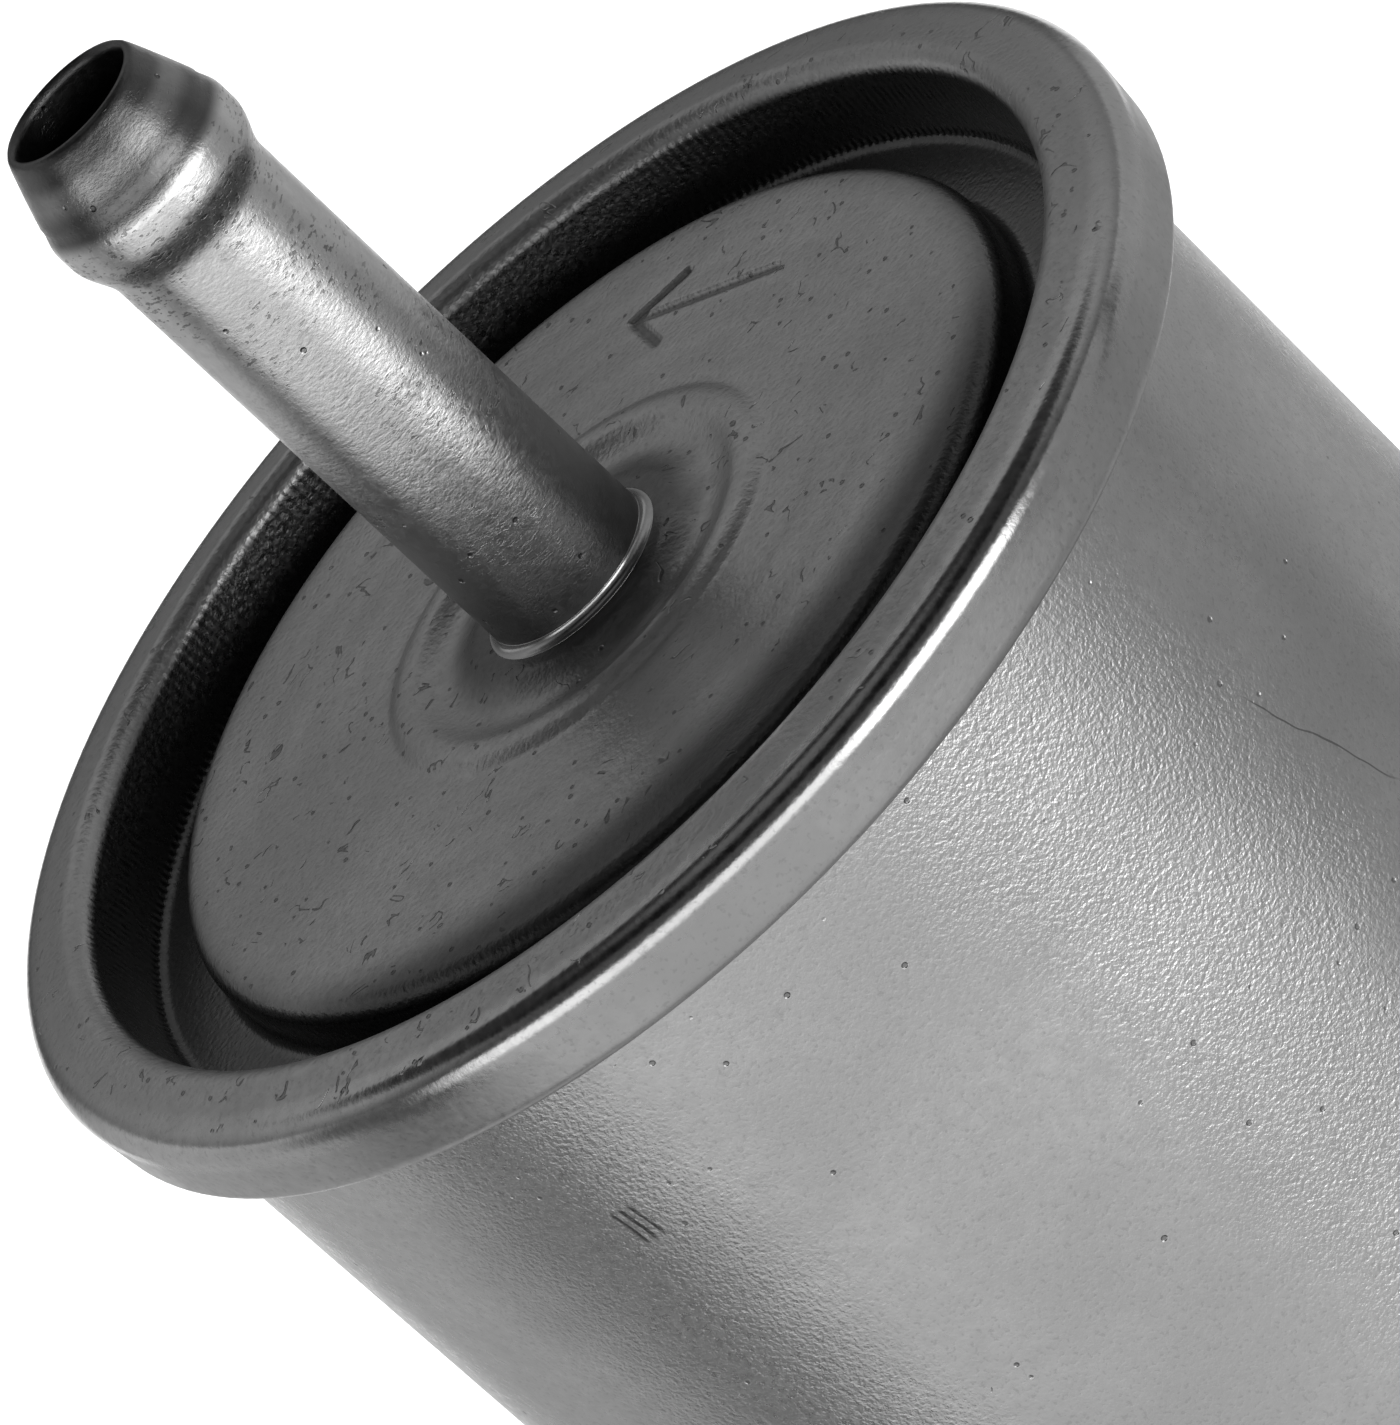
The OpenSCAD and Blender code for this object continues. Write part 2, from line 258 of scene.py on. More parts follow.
def add_floor():
    """Plain pale floor just under the inlet nipple."""
    size = 4.0
    clearance = 0.2 * MM
    mesh = bpy.data.meshes.new("floor")
    z = cad_bounds[0][2] - clearance
    corners = [(-size, -size, z), (size, -size, z), (size, size, z), (-size, size, z)]
    mesh.from_pydata(corners, [], [(0, 1, 2, 3)])
    floor = bpy.data.objects.new("floor", mesh)
    bpy.context.scene.collection.objects.link(floor)
    material = bpy.data.materials.new("pale_floor")
    material.use_nodes = True
    n = Nodes(material.node_tree)
    place = n.add("ShaderNodeTexCoord").outputs["Object"]
    tone = n.mix(n.noise(place, 3.0), (0.9, 0.9, 0.9, 1), (0.93, 0.93, 0.93, 1))
    shader = n.add("ShaderNodeBsdfPrincipled", {"Base Color": tone, "Roughness": 0.9})
    n.add("ShaderNodeOutputMaterial", {"Surface": shader.outputs[0]})
    mesh.materials.append(material)
    floor.visible_glossy = False
    floor.visible_diffuse = False
    only_floor = bpy.data.collections.new("floor_light_target")
    only_floor.objects.link(floor)
    lamp = area_light("floor_light", (0, -1.0, 3.0), (0, 0.4, 0), (4.0, 4.0), 260)
    lamp.light_linking.receiver_collection = only_floor


# ---------------------------------------------------------------- profiles and turned meshes

def arc(centre, radius, start, end, steps=10):
    angles = np.radians(np.linspace(start, end, steps + 1))
    return [(centre[0] + radius * math.cos(a), centre[1] + radius * math.sin(a)) for a in angles]


def ease(x, low, high):
    t = min(max((x - low) / (high - low), 0), 1)
    return (1 - math.cos(math.pi * t)) / 2


def dense(path, step):
    """The same path with no stretch longer than step (a number, or a function of the point)."""
    points = [path[0]]
    for a, b in zip(path, path[1:]):
        length = math.dist(a, b)
        if length < 1e-6:
            continue
        limit = step(a) if callable(step) else step
        count = max(1, math.ceil(length / limit - 1e-9))
        points += [(a[0] + (b[0] - a[0]) * i / count, a[1] + (b[1] - a[1]) * i / count)
                   for i in range(1, count + 1)]
    return points


def offset(path, distance):
    """A path beside this one, with mitred corners; positive is to the left of the way it runs."""
    p = np.array(path, float)
    steps = np.diff(p, axis=0)
    steps /= np.linalg.norm(steps, axis=1)[:, None]
    normals = np.stack([-steps[:, 1], steps[:, 0]], 1)
    before = np.vstack([normals[:1], normals])
    after = np.vstack([normals, normals[-1:]])
    mitre = (before + after) / (1 + (before * after).sum(1))[:, None]
    return [tuple(q) for q in p + distance * mitre]


def even_angles(count):
    return np.linspace(0, TAU, count, endpoint=False)


def turned(name, profile, angles, shift=None):
    """A closed solid from a closed profile of (r, z) in mm, turned round the axis.

    shift(r, z, angle) says how far each point moves along its outward normal, in mm.
    Angle 0 faces the camera side (-Y) and grows towards +X."""
    p = np.array(profile, float)
    ahead = np.roll(p, -1, axis=0)
    behind = np.roll(p, 1, axis=0)
    along = ahead - behind
    along /= np.maximum(np.linalg.norm(along, axis=1), 1e-9)[:, None]
    out = np.stack([along[:, 1], -along[:, 0]], 1)
    area = (p[:, 0] * ahead[:, 1] - ahead[:, 0] * p[:, 1]).sum()
    if area < 0:
        out = -out
    radius, height = (np.repeat(p[:, i][:, None], len(angles), 1) for i in (0, 1))
    angle = np.repeat(np.asarray(angles)[None, :], len(p), 0)
    if shift is not None:
        amount = shift(radius, height, angle)
        radius = radius + amount * out[:, 0][:, None]
        height = height + amount * out[:, 1][:, None]
    verts = np.stack([radius * np.sin(angle), -radius * np.cos(angle), height], -1).reshape(-1, 3) * MM
    rows, columns = len(p), len(angles)
    i = np.arange(rows)[:, None]
    j = np.arange(columns)[None, :]
    i2, j2 = (i + 1) % rows, (j + 1) % columns
    quads = np.stack(np.broadcast_arrays(i * columns + j, i * columns + j2, i2 * columns + j2,
                                         i2 * columns + j), -1).reshape(-1, 4)
    if area < 0:
        quads = quads[:, ::-1]
    return mesh_piece(name, verts, quads)


def mesh_piece(name, verts, quads):
    mesh = bpy.data.meshes.new(name)
    mesh.vertices.add(len(verts))
    mesh.vertices.foreach_set("co", np.asarray(verts, np.float32).ravel())
    mesh.loops.add(quads.size)
    mesh.loops.foreach_set("vertex_index", quads.ravel().astype(np.int32))
    mesh.polygons.add(len(quads))
    mesh.polygons.foreach_set("loop_start", np.arange(0, quads.size, 4, dtype=np.int32))
    mesh.polygons.foreach_set("loop_total", np.full(len(quads), 4, np.int32))
    mesh.update(calc_edges=True)
    mesh.validate()
    mesh.polygons.foreach_set("use_smooth", np.ones(len(quads), bool))
    piece = bpy.data.objects.new(name, mesh)
    bpy.context.scene.collection.objects.link(piece)
    return piece


def wander(angle, waves, size, seed):
    """A smooth closed variation round the axis, made of a few sine waves."""
    draw = np.random.default_rng(seed)
    total = np.zeros_like(angle)
    for k in waves:
        total += draw.uniform(-1, 1) * np.sin(k * angle + draw.uniform(0, TAU))
    return size * total


def near_angle(angle, centre):
    """Signed difference between two angles, from -pi to pi."""
    return (angle - centre + math.pi) % TAU - math.pi


# ---------------------------------------------------------------- cover

ARROW_ANGLE = math.radians(129)
ARROW_R = 15.6
ARROW_REACH = 2.6
STROKE_HALF = 0.36
ARROW_LINES = (
    ((-4.3, 0.0), (4.3, 0.0)),
    ((4.3, 0.0), (1.9, 2.0)),
    ((4.3, 0.0), (1.9, -2.0)),
)


def cover_rise(r):
    """Height of the cover's centre above its plate: flat collar, dish, raised ring."""
    dish_out = RING_R - 0.5
    if r < COLLAR_FLAT_R:
        return RING_H
    if r < dish_out:
        return RING_H - DISH_DEPTH * math.sin(math.pi * (r - COLLAR_FLAT_R) / (dish_out - COLLAR_FLAT_R))
    return RING_H * (1 - ease(r, RING_R, RING_R + 1))


def cover_path():
    """Mid-sheet path of the cover, from the nipple's hole out to the end of its hook."""
    inner = (CHUCK_R - HALF + RIM_INNER, RIM_Z - RIM_INNER)
    outer = (SEAM_WALL_R + HALF - RIM_OUTER, RIM_Z - RIM_FALL - RIM_OUTER)
    tangent = math.asin((RIM_INNER - RIM_OUTER) / math.dist(inner, outer))
    slope = math.degrees(tangent + math.atan2(inner[1] - outer[1], outer[0] - inner[0]))
    ring_radii = np.arange(COLLAR_FLAT_R, RING_R + 1.01, 0.2)
    centre = [(HOLE_R, PLATE_Z - HALF + RING_H)]
    centre += [(r, PLATE_Z - HALF + cover_rise(r)) for r in ring_radii]
    return (
        centre
        + [(ARROW_R - ARROW_REACH, PLATE_Z - HALF), (ARROW_R + ARROW_REACH, PLATE_Z - HALF)]
        + arc((PLATE_R - EDGE_BEND, PLATE_Z - HALF - EDGE_BEND), EDGE_BEND, 90, 0)
        + arc((PLATE_R + GROOVE_BEND, GROOVE_MID_Z + GROOVE_BEND), GROOVE_BEND, 180, 270)
        + arc((CHUCK_FOOT_R - GROOVE_BEND, GROOVE_MID_Z + GROOVE_BEND), GROOVE_BEND, -90, 0)
        + arc(inner, RIM_INNER - HALF, 180, 90 - slope, 14)
        + arc(outer, RIM_OUTER - HALF, 90 - slope, 0, 14)
        + arc((SEAM_WALL_R - SEAM_LEAN - CORNER_R, FOLD_LOW_Z + CORNER_R), CORNER_R, 0, -90, 8)
        + arc((COVER_HOOK_R + CORNER_R, FOLD_LOW_Z + CORNER_R), CORNER_R, -90, -180, 8)
        + [(COVER_HOOK_R, BODY_BEND_Z - 0.15)]
    )


def stroke_depth(u, v, line, half_width):
    """1 in the middle of a stamped stroke, 0 outside it, at points (u, v)."""
    (u0, v0), (u1, v1) = line
    length2 = (u1 - u0) ** 2 + (v1 - v0) ** 2
    t = np.clip(((u - u0) * (u1 - u0) + (v - v0) * (v1 - v0)) / length2, 0, 1)
    away = np.hypot(u - u0 - t * (u1 - u0), v - v0 - t * (v1 - v0))
    t = np.clip(1.5 * (1 - away / half_width), 0, 1)
    return t * t * (3 - 2 * t)


def cover_shift(r, z, angle):
    """Ripples, slow waves and the stamped flow arrow of the pressed cover."""
    stamp_depth = 0.2
    top = z > PLATE_Z - 0.2
    plate = top & (r < PLATE_R - 0.5) & (r > COLLAR_FLAT_R)
    amount = np.zeros_like(r)
    drift = wander(angle, (1, 2, 3), 0.25, 3)
    wide_ripple = 0.011 * np.sin(TAU * (r + drift) / 2.6)
    fine_ripple = 0.002 * np.sin(TAU * (r + drift) / 1.2 + 1)
    ripple = wide_ripple + fine_ripple
    fade = np.clip((PLATE_R - 1.2 - r) / 1.5, 0, 1) * np.clip((r - COLLAR_FLAT_R) / 0.8, 0, 1)
    amount += np.where(plate, ripple * fade, 0)
    amount += np.where(plate, wander(angle, (2, 3, 5), 0.012, 5) * np.sin(math.pi * r / PLATE_R), 0)
    turn = near_angle(angle, ARROW_ANGLE)
    u = r * np.sin(turn)
    v = r * np.cos(turn) - ARROW_R
    stamp = np.zeros_like(r)
    for line in ARROW_LINES:
        stamp = np.maximum(stamp, stroke_depth(u, v, line, STROKE_HALF))
    amount -= np.where(plate, stamp_depth * stamp, 0)
    return amount


def build_cover():
    """The cover, with finer rows and columns where the arrow is stamped."""
    fine_row = 0.095
    coarse_row = 0.42

    def step(point):
        r, z = point
        in_arrow = -ARROW_REACH - 0.1 < r - ARROW_R < ARROW_REACH - 0.1 and z > PLATE_Z - 0.5
        return fine_row if in_arrow else coarse_row

    path = dense(cover_path(), step)
    top = offset(path, HALF)
    under = offset(dense(cover_path(), 0.8), -HALF)
    coarse = 2.0
    fine = 0.33
    spread = 17.6
    middle = math.degrees(ARROW_ANGLE)
    angles = np.radians(np.concatenate([
        np.arange(middle - spread, middle + spread, fine),
        np.arange(middle + spread, middle - spread + 360, coarse),
    ]))
    return turned("cover_shell", top + under[::-1], angles, cover_shift)


# ---------------------------------------------------------------- can

def can_path():
    """Mid-sheet path of the can, from the inlet's hole to the end of its hook."""
    pad_r, pad_h, slope_w, bend = 12, 0.8, 1.6, 5
    low = CAN_BOTTOM_Z + HALF
    slope_radii = np.arange(pad_r + 0.2, pad_r + slope_w + 0.01, 0.2)
    return (
        [(HOLE_R, low), (pad_r, low)]
        + [(r, low + pad_h * ease(r, pad_r, pad_r + slope_w)) for r in slope_radii]
        + arc((WALL_R - bend, low + pad_h + bend), bend, -90, 0, 20)
        + [(WALL_R, BARREL_TOP_Z)]
        + arc((NECK_R + BODY_BEND_R, BODY_BEND_Z), BODY_BEND_R, 180, 0)
        + [(BODY_HOOK_R, FOLD_Z - SLIP)]
    )


def build_can():
    outside = offset(dense(can_path(), 1.0), -HALF)
    inside = offset(dense(can_path(), 2.0), HALF)
    return turned("can_shell", outside + inside[::-1], even_angles(320))


# ---------------------------------------------------------------- nipples and braze

def nipple_outline(mouth_z):
    """Outer outline of the beaded end, from the straight tube to the mouth, for a mouth at mouth_z."""
    bead = BEAD_R - TUBE_R
    rise = [(TUBE_R + bead * ease(t, 0, 1), -7 + 2.2 * t) for t in np.linspace(0, 1, 15)]
    shoulder_fall = 0.3
    shoulder_r = BEAD_R - shoulder_fall
    shoulder = [(BEAD_R - shoulder_fall * ease(t, 0, 1), -4.1 + 1.2 * t) for t in np.linspace(0, 1, 13)]
    cone = [(shoulder_r - 0.72 * t - 0.05 * t * t, -2.9 + 2.2 * t) for t in np.linspace(0, 1, 9)[1:]]
    lip = [(3.42, -0.36), (3.33, -0.16), (3.22, -0.04), (3.1, 0)]
    return [(r, z + mouth_z) for r, z in rise + shoulder + cone + lip]


def build_nipple(name, mouth_z, stub_z):
    """A beaded tube from its stub inside the can, at stub_z, up to its mouth, at mouth_z."""
    outline = [(BORE_R, stub_z), (TUBE_R, stub_z)] + nipple_outline(mouth_z) + [(BORE_R, mouth_z)]
    closed = dense(outline + [outline[0]], 0.5)[:-1]
    return turned(name, closed, even_angles(192))


def build_inlet_nipple():
    """The inlet's nipple, built pointing up and then mirrored."""
    piece = build_nipple("inlet_tube", -INLET_MOUTH_Z, -(inlet_high.z / MM))
    piece.data.transform(Matrix.Diagonal((1, 1, -1, 1)))
    piece.data.flip_normals()
    return piece


def build_fillet(name, base_z, upward):
    """The concave braze ring between a nipple and the sheet it passes through."""
    width = 0.42
    curve = arc((TUBE_R + width, width), width, -90, -180, 12)
    profile = [(TUBE_R, 0)] + curve
    piece = turned(name, dense(profile + [profile[0]], 0.12)[:-1], even_angles(160))
    if not upward:
        piece.data.transform(Matrix.Diagonal((1, 1, -1, 1)))
        piece.data.flip_normals()
    piece.data.transform(Matrix.Translation((0, 0, base_z * MM)))
    return piece


# ---------------------------------------------------------------- materials

MARK_COLOUR = (0.04, 0.04, 0.04, 1)
# dark colour of the cover's painted shade and painted shadow, and of its arrow strokes
SHADE_AND_STROKE_COLOUR = (0.03, 0.03, 0.03, 1)
# dark colour of the nipples' painted shade and painted reflection, their spots, and their darker mouths
SHADE_AND_SPOT_COLOUR = (0.05, 0.05, 0.05, 1)
MARK_DEPTH = 0.045


def hair_marks(n, place, scale, width, cover):
    """Thin curly lines: 1 on a line, 0 elsewhere, only in scattered patches."""
    field = n.noise(place, scale, 2.0, 0.55, 0.6)
    line = n.step(n.math("ABSOLUTE", n.math("SUBTRACT", field, 0.5)), width * 0.3, width, 1.0, 0.0)
    patch = n.step(n.noise(place, scale * 1.7, 1.0), 1 - cover, 1.04 - cover)
    return n.math("MULTIPLY", line, patch)


def pit_marks(n, place, scale, size, cover):
    """Scattered round pits: 1 in a pit, 0 elsewhere."""
    cells = n.add("ShaderNodeTexVoronoi", {"Vector": place, "Scale": scale, "Randomness": 1.0})
    spot = n.step(cells.outputs["Distance"], size * 0.5, size, 1.0, 0.0)
    chance = n.add("ShaderNodeSeparateColor", {0: cells.outputs["Color"]}).outputs[0]
    return n.math("MULTIPLY", spot, n.math("LESS_THAN", chance, cover))


def round_axis(n, place):
    """Distance from the axis in metres, angle round it in radians, and height, of a point."""
    x, y, z = n.add("ShaderNodeSeparateXYZ", {0: place}).outputs
    radius = n.math("SQRT", n.math("ADD", n.math("MULTIPLY", x, x), n.math("MULTIPLY", y, y)))
    angle = n.math("ARCTAN2", x, n.math("MULTIPLY", y, -1.0))
    return radius, angle, z


def steel(name, tone, rough, grain=None, pits=0.0, hairs=0.0, extra=None, where=None, skin=None):
    """Bare steel sheet. grain is (size round, size along the axis, height) in mm of an orange-peel skin.

    extra adds wear of its own, and on the cover and nipples painted shade as well; where limits the marks and
    skin limits the orange peel, each from 0 to 1."""
    material = bpy.data.materials.new(name)
    material.use_nodes = True
    n = Nodes(material.node_tree)
    place = n.add("ShaderNodeTexCoord").outputs["Object"]
    cloud = n.noise(place, 70.0, 4.0, 0.62)
    fine = n.noise(place, 2600.0, 3.0, 0.6)
    dark = tuple(0.86 * c for c in tone) + (1,)
    light = tuple(min(1, 1.08 * c) for c in tone) + (1,)
    colour = n.mix(n.step(cloud, 0.3, 0.7), dark, light)
    mottle = n.noise(place, 1500.0, 4.0, 0.7)
    colour = n.mix(n.step(mottle, 0.35, 0.7, 0.0, 0.55), colour, dark)
    slow_rough = n.step(cloud, 0.3, 0.7, rough * 1.08, rough * 0.94)
    roughness = n.math("ADD", n.step(fine, 0.25, 0.75, -0.05, 0.05), slow_rough)
    normal = n.bump(fine, 0.006 * MM, 1.0)
    if grain:
        around, along, height = grain
        stretch = n.add("ShaderNodeMapping", {"Vector": place, "Scale": (1 / around, 1 / around, 1 / along)})
        peel = n.noise(stretch.outputs[0], 1000.0, 2.0, 0.55)
        strength = skin(n, place) if skin else 1.0
        normal = n.bump(peel, height * MM, strength, normal)
        # painted shade: the orange peel's hollows are darkened towards half the tone
        hollow = n.step(peel, 0.3, 0.44, 0.3, 0.0)
        colour = n.mix(hollow, colour, tuple(0.5 * c for c in tone) + (1,))
    marks = None
    if pits:
        large_pits = pit_marks(n, place, 620.0, 0.1, pits)
        small_pits = pit_marks(n, place, 1300.0, 0.2, pits)
        marks = n.math("MAXIMUM", large_pits, small_pits)
    if hairs:
        lines = hair_marks(n, place, 430.0, 0.014, hairs)
        marks = n.math("MAXIMUM", marks, lines) if marks else lines
    if marks:
        marks = n.math("MULTIPLY", marks, where(n, place)) if where else marks
        normal = n.bump(n.math("SUBTRACT", 1.0, marks), MARK_DEPTH * MM, 1.0, normal)
        colour = n.mix(n.math("MULTIPLY", marks, 0.5), colour, MARK_COLOUR)
    if extra:
        colour, roughness, normal = extra(n, place, colour, roughness, normal)
    shader = n.add("ShaderNodeBsdfPrincipled", {"Base Color": colour, "Metallic": 1.0, "Roughness": roughness,
                                                 "Normal": normal})
    n.add("ShaderNodeOutputMaterial", {"Surface": shader.outputs[0]})
    return material


def flat_parts(n, place):
    """1 on the cover's plate and on top of its rim, 0 in the groove and on the seam's outer wall."""
    radius, _, z = round_axis(n, place)
    plate = n.step(radius, (PLATE_R - 0.7) * MM, (PLATE_R - 0.1) * MM, 1.0, 0.0)
    rim = n.step(z, (RIM_Z - 0.4) * MM, (RIM_Z - 0.3) * MM)
    return n.math("MAXIMUM", plate, n.math("MULTIPLY", rim, 0.8))


def cover_skin(n, place):
    """How strong the cover's orange peel is: full on top, faint on the rolled seam's outer wall."""
    radius = round_axis(n, place)[0]
    return n.step(radius, (SEAM_R - 2.3) * MM, (SEAM_R - 1.5) * MM, 1.0, 0.2)


def stroke_mask(n, place):
    """1 in the stamped arrow's strokes, 0 elsewhere."""
    x, y, z = n.add("ShaderNodeSeparateXYZ", {0: place}).outputs
    sine, cosine = math.sin(ARROW_ANGLE), math.cos(ARROW_ANGLE)
    u = n.math("ADD", n.math("MULTIPLY", x, cosine), n.math("MULTIPLY", y, sine))
    v = n.math("SUBTRACT", n.math("MULTIPLY", x, sine), n.math("MULTIPLY", y, cosine))
    nearest = None
    for (u0, v0), (u1, v1) in ARROW_LINES:
        length = math.dist((u0, v0), (u1, v1))
        along_u, along_v = (u1 - u0) / length, (v1 - v0) / length
        from_u = n.math("SUBTRACT", u, u0 * MM)
        from_v = n.math("SUBTRACT", v, (v0 + ARROW_R) * MM)
        along = n.math("ADD", n.math("MULTIPLY", from_u, along_u), n.math("MULTIPLY", from_v, along_v))
        along = n.math("MINIMUM", n.math("MAXIMUM", along, 0.0), length * MM)
        away_u = n.math("SUBTRACT", from_u, n.math("MULTIPLY", along, along_u))
        away_v = n.math("SUBTRACT", from_v, n.math("MULTIPLY", along, along_v))
        away_squared = n.math("ADD", n.math("MULTIPLY", away_u, away_u), n.math("MULTIPLY", away_v, away_v))
        away = n.math("SQRT", away_squared)
        nearest = away if nearest is None else n.math("MINIMUM", nearest, away)
    stroke = n.step(nearest, 0.1 * MM, 0.27 * MM, 1.0, 0.0)
    on_top = n.step(z, (PLATE_Z - 0.5) * MM, (PLATE_Z - 0.4) * MM)
    return n.math("MULTIPLY", stroke, on_top)


def cover_wear_and_shade(n, place, colour, roughness, normal):
    """Burnished groove with chuck ribs, painted shade in the groove, a painted shadow of the near rim on the
    camera side of the plate's edge, painted shade round the nipple's base, dark arrow strokes, and a seam
    shoulder polished by the rollers."""
    radius, angle, z = round_axis(n, place)
    groove_in, groove_out = 21.4, 26.0
    in_groove = n.math("MULTIPLY", n.step(radius, (groove_in - 0.2) * MM, (groove_in + 0.2) * MM),
                       n.step(radius, (groove_out + 0.2) * MM, (groove_out - 0.2) * MM))
    low = n.step(z, (RIM_Z - 0.9) * MM, (RIM_Z - 0.3) * MM, 1.0, 0.0)
    groove = n.math("MULTIPLY", in_groove, low)

    ribs_per_radian = 340.0
    rib_depth = 0.016
    ribs = n.math("SINE", n.math("MULTIPLY", angle, ribs_per_radian))
    wall = n.math("MULTIPLY", n.step(radius, 24.6 * MM, 25.0 * MM), groove)
    foot = n.math("MULTIPLY", n.step(z, (GROOVE_MID_Z + 0.5) * MM, (GROOVE_MID_Z + 0.75) * MM),
                  n.step(z, (GROOVE_MID_Z + 0.8) * MM, (GROOVE_MID_Z + 1.1) * MM, 1.0, 0.0))
    high = n.math("MULTIPLY", n.step(z, (RIM_Z - 3.2) * MM, (RIM_Z - 1.8) * MM), 0.5)
    depth = n.math("MULTIPLY", n.math("MULTIPLY", wall, n.math("ADD", foot, high)), ribs)
    normal = n.bump(depth, rib_depth * MM, 1.0, normal)

    # painted shadow: the near rim's shadow darkens the plate's edge, reaching furthest in on the camera side
    # (angle 0)
    shadow_reach = n.math("ADD", n.math("MULTIPLY", n.math("COSINE", angle), 5.0 * MM), -1.8 * MM)
    start = n.math("SUBTRACT", 22.2 * MM, n.math("MAXIMUM", shadow_reach, 0.0))
    rim_shadow = n.step(radius, n.math("SUBTRACT", start, 2.6 * MM), n.math("ADD", start, 0.6 * MM))
    rim_shadow = n.math("MULTIPLY", rim_shadow, n.step(radius, (groove_out + 0.2) * MM, (groove_out - 0.2) * MM))
    rim_shadow = n.math("MULTIPLY", rim_shadow, low)

    # painted shade: a ragged dark ring on the plate round the nipple's base
    ragged = n.math("ADD", radius, n.math("MULTIPLY", n.noise(place, 500.0, 3.0), 1.6 * MM))
    above_plate = n.step(z, (PLATE_Z - 0.6) * MM, (PLATE_Z - 0.3) * MM)
    nipple_base_shade = n.math("MULTIPLY", n.step(ragged, 5.8 * MM, 8.6 * MM, 0.72, 0.0), above_plate)

    strokes = n.math("MULTIPLY", stroke_mask(n, place), 0.62)
    # painted shade: the groove is darkened by 0.42 and the rim's painted shadow by 0.82, together with the
    # dark arrow strokes
    shade_and_marks = n.math("MAXIMUM", n.math("MULTIPLY", rim_shadow, 0.82), n.math("MULTIPLY", groove, 0.42))
    shade_and_marks = n.math("MAXIMUM", shade_and_marks, n.math("MAXIMUM", nipple_base_shade, strokes))
    colour = n.mix(shade_and_marks, colour, SHADE_AND_STROKE_COLOUR)

    shoulder = n.math("MULTIPLY", n.step(radius, (SEAM_R - 1.7) * MM, (SEAM_R - 1.1) * MM),
                      n.step(z, (RIM_Z - 2.4) * MM, (RIM_Z - 1.4) * MM))
    roughness = n.math("ADD", roughness, n.math("MULTIPLY", groove, -0.08))
    roughness = n.math("ADD", roughness, n.math("MULTIPLY", shoulder, -0.16))
    return colour, roughness, normal


def tube_wear_and_shade(n, place, colour, roughness, normal):
    """Tube skin: scale marks drawn out round the tube, a painted dark reflection of the cover on the tube
    near it, painted shade in the bore, and darker towards the mouth.
    """
    radius, _, z = round_axis(n, place)
    scale_round, scale_along = 0.42, 0.16
    stretch = n.add("ShaderNodeMapping", {"Vector": place, "Scale": (1 / scale_round, 1 / scale_round,
                                                                     1 / scale_along)})
    skin = n.noise(stretch.outputs[0], 1000.0, 2.0, 0.6)
    patch = n.noise(place, 240.0, 3.0, 0.6)
    flaw = n.math("MULTIPLY", n.step(skin, 0.57, 0.64), n.step(patch, 0.42, 0.58))
    blotch = n.math("MULTIPLY", n.step(n.noise(place, 900.0, 4.0, 0.7), 0.52, 0.7), n.step(patch, 0.46, 0.66))
    grit = n.noise(place, 5200.0, 2.0, 0.6)
    skin = n.math("ADD", n.math("MULTIPLY", skin, 0.6), n.math("MULTIPLY", grit, 0.4))
    skin_depth = 0.019
    pitted = n.math("SUBTRACT", skin, n.math("MULTIPLY", flaw, 0.35))
    normal = n.bump(pitted, skin_depth * MM, 1.0, normal)

    height = n.math("ABSOLUTE", z)
    # painted reflection: the tube is darkened from 1 mm under the rim to 10.5 mm above it, where it mirrors
    # the dark cover
    cover_reflection = n.step(height, (RIM_Z - 1) * MM, (RIM_Z + 10.5) * MM, 0.76, 0.0)
    from_mouth = n.math("MINIMUM", n.math("ABSOLUTE", n.math("SUBTRACT", z, OUTLET_MOUTH_Z * MM)),
                        n.math("ABSOLUTE", n.math("SUBTRACT", z, INLET_MOUTH_Z * MM)))
    # darker over the last 3.3 to 4 mm to each mouth, less dark in a patchy band 0.9 to 2.6 mm from it
    tip = n.step(from_mouth, 3.3 * MM, 4.0 * MM, 0.86, 0.0)
    lighter_band = n.math("MULTIPLY", n.step(from_mouth, 0.9 * MM, 1.5 * MM),
                  n.step(from_mouth, 1.8 * MM, 2.6 * MM, 1.0, 0.0))
    tip = n.math("SUBTRACT", tip, n.math("MULTIPLY", lighter_band, n.step(patch, 0.3, 0.6, 0.1, 0.3)))
    # painted shade: the inside of the bore is darkened
    bore = n.step(radius, (BORE_R + 0.02) * MM, (BORE_R + 0.2) * MM, 0.9, 0.0)
    spots = n.math("MULTIPLY", n.math("MAXIMUM", flaw, blotch), 0.6)
    shade_and_marks = n.math("MAXIMUM", n.math("MAXIMUM", cover_reflection, bore), n.math("MAXIMUM", spots, tip))
    colour = n.mix(shade_and_marks, colour, SHADE_AND_SPOT_COLOUR)
    return colour, roughness, normal


def can_skin(n, place):
    """How strong the barrel's orange peel is: drawn in lengthwise bands and cloudy patches."""
    angle = round_axis(n, place)[1]
    bands_round, band_start = 6.0, math.radians(15)
    bands = n.math("COSINE", n.math("MULTIPLY", n.math("SUBTRACT", angle, band_start), bands_round))
    cloud = n.noise(place, 90.0, 3.0)
    level = n.math("ADD", n.math("MULTIPLY", bands, 0.26), cloud)
    return n.step(level, 0.3, 0.75, 0.34, 1.0)


